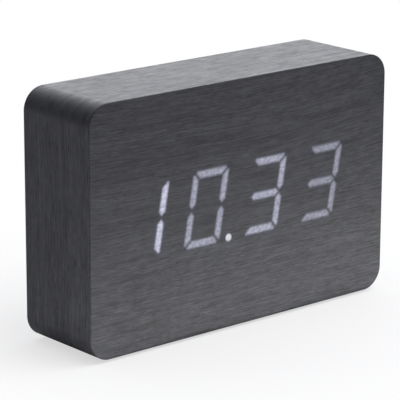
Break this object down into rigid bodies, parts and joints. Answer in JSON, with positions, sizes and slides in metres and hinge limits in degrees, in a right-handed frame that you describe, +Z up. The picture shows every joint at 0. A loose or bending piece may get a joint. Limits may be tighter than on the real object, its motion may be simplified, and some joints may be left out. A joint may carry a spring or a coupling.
{
  "type": "digital alarm clock",
  "caption": "Low block-shaped alarm clock in black-stained wood veneer, whose slanted seven-segment digits glow through the face; buttons, power socket and battery door at the back.",
  "frame": {"origin": "middle of the footprint, on the plane that the foot pads stand on", "axes": "+Z up, the face looks along -Y, +X to the right of someone reading the clock"},
  "size_m": [0.152, 0.04, 0.1],
  "materials": {
    "black_veneer": "satin, black-stained open grain",
    "fibreboard": "matt, dark painted fibreboard",
    "black_plastic": "fine moulded texture",
    "white_film": "translucent, lit from behind",
    "circuit_board": "solder mask",
    "chip_black": "matt",
    "bright_metal": "nickel plated",
    "grey_insulation": "flat cable",
    "red_insulation": "wire insulation",
    "black_insulation": "wire insulation",
    "cell_wrap": "plain printed sleeve",
    "capacitor_sleeve": "shrunk sleeve",
    "dark_foam": "adhesive pad"
  },
  "bodies": {
    "case": {"back_cover": "black_plastic", "band_veneer": "black_veneer", "battery_1": "cell_wrap", "battery_2": "cell_wrap", "battery_3": "cell_wrap", "battery_lead_black": "black_insulation", "battery_lead_red": "red_insulation", "battery_plate_1": "bright_metal", "battery_plate_2": "bright_metal", "battery_plate_3": "bright_metal", "battery_spring_1": "bright_metal", "battery_spring_2": "bright_metal", "battery_spring_3": "bright_metal", "buzzer": "chip_black", "case_ring": "fibreboard", "clock_crystal": "bright_metal", "control_board": "circuit_board", "control_board_screw_1": "bright_metal", "control_board_screw_2": "bright_metal", "control_chip": "chip_black", "cover_screw_1": "bright_metal", "cover_screw_2": "bright_metal", "cover_screw_3": "bright_metal", "cover_screw_4": "bright_metal", "dc_jack": "black_plastic", "digit_1_diffuser": "white_film", "digit_2_diffuser": "white_film", "digit_3_diffuser": "white_film", "digit_4_diffuser": "white_film", "display_board": "circuit_board", "display_driver_chip": "chip_black", "display_reflector": "black_plastic", "display_screw_1": "bright_metal", "display_screw_2": "bright_metal", "display_screw_3": "bright_metal", "display_screw_4": "bright_metal", "foot_pad_1": "dark_foam", "foot_pad_2": "dark_foam", "foot_pad_3": "dark_foam", "foot_pad_4": "dark_foam", "front_board": "fibreboard", "front_veneer": "black_veneer", "microphone": "bright_metal", "ribbon_cable": "grey_insulation", "smoothing_capacitor": "capacitor_sleeve", "switch_body_1": "chip_black", "switch_body_2": "chip_black", "switch_body_3": "chip_black"},
    "battery_door_body": {"battery_door": "black_plastic"},
    "set_button_body": {"set_button": "black_plastic", "switch_plunger_1": "chip_black"},
    "up_button_body": {"up_button": "black_plastic", "switch_plunger_2": "chip_black"},
    "down_button_body": {"down_button": "black_plastic", "switch_plunger_3": "chip_black"}
  },
  "joints": [
    {"name": "battery_door_hinge", "type": "hinge", "parent": "case", "child": "battery_door_body", "pos_m": [0.03206, 0.01839, 0.0644], "axis": [1, 0, 0], "range_deg": [0, 80]},
    {"name": "set_button_press", "type": "slide", "parent": "case", "child": "set_button_body", "axis": [0, -1, 0], "range_m": [0, 0.0005], "stiffness_N_per_m": 900},
    {"name": "up_button_press", "type": "slide", "parent": "case", "child": "up_button_body", "axis": [0, -1, 0], "range_m": [0, 0.0005], "stiffness_N_per_m": 900},
    {"name": "down_button_press", "type": "slide", "parent": "case", "child": "down_button_body", "axis": [0, -1, 0], "range_m": [0, 0.0005], "stiffness_N_per_m": 900}
  ]
}
